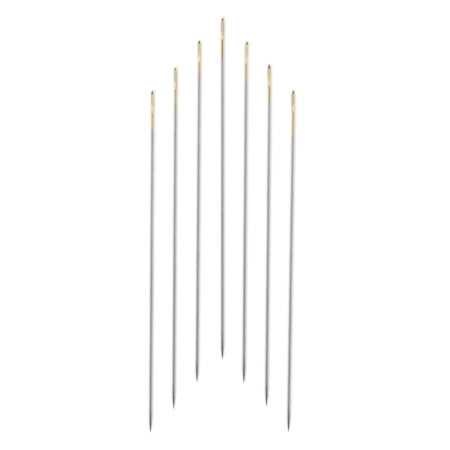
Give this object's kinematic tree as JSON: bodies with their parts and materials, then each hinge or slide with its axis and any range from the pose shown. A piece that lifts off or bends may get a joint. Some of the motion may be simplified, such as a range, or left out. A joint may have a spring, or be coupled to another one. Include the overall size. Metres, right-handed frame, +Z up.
{
  "type": "beading needle set",
  "caption": "Beading needles with gold-plated slotted eyes, thin bright steel shanks and sharp points, laid side by side in a chevron, for threading small beads.",
  "frame": {"origin": "under the middle of the set's box, on the surface that the needles lie on", "axes": "+Y along the needles towards their eyes, +X across the set to the right, +Z up from the surface"},
  "size_m": [0.0234, 0.0666, 0.0005],
  "materials": {
    "nickel_plated_steel": "satin",
    "bare_steel": "satin",
    "gold_plate": "gloss"
  },
  "bodies": {
    "needle_1": {"needle_1_shank": "nickel_plated_steel", "needle_1_eye_core": "bare_steel", "needle_1_gold_plating": "gold_plate"},
    "needle_2": {"needle_2_shank": "nickel_plated_steel", "needle_2_eye_core": "bare_steel", "needle_2_gold_plating": "gold_plate"},
    "needle_3": {"needle_3_shank": "nickel_plated_steel", "needle_3_eye_core": "bare_steel", "needle_3_gold_plating": "gold_plate"},
    "needle_4": {"needle_4_shank": "nickel_plated_steel", "needle_4_eye_core": "bare_steel", "needle_4_gold_plating": "gold_plate"},
    "needle_5": {"needle_5_shank": "nickel_plated_steel", "needle_5_eye_core": "bare_steel", "needle_5_gold_plating": "gold_plate"},
    "needle_6": {"needle_6_shank": "nickel_plated_steel", "needle_6_eye_core": "bare_steel", "needle_6_gold_plating": "gold_plate"},
    "needle_7": {"needle_7_shank": "nickel_plated_steel", "needle_7_eye_core": "bare_steel", "needle_7_gold_plating": "gold_plate"}
  },
  "joints": [
    {"name": "needle_1_lift", "type": "slide", "parent": "needle_4", "child": "needle_1", "axis": [0, 0, 1], "range_m": [0, 0.02]},
    {"name": "needle_2_lift", "type": "slide", "parent": "needle_4", "child": "needle_2", "axis": [0, 0, 1], "range_m": [0, 0.02]},
    {"name": "needle_3_lift", "type": "slide", "parent": "needle_4", "child": "needle_3", "axis": [0, 0, 1], "range_m": [0, 0.02]},
    {"name": "needle_5_lift", "type": "slide", "parent": "needle_4", "child": "needle_5", "axis": [0, 0, 1], "range_m": [0, 0.02]},
    {"name": "needle_6_lift", "type": "slide", "parent": "needle_4", "child": "needle_6", "axis": [0, 0, 1], "range_m": [0, 0.02]},
    {"name": "needle_7_lift", "type": "slide", "parent": "needle_4", "child": "needle_7", "axis": [0, 0, 1], "range_m": [0, 0.02]}
  ]
}
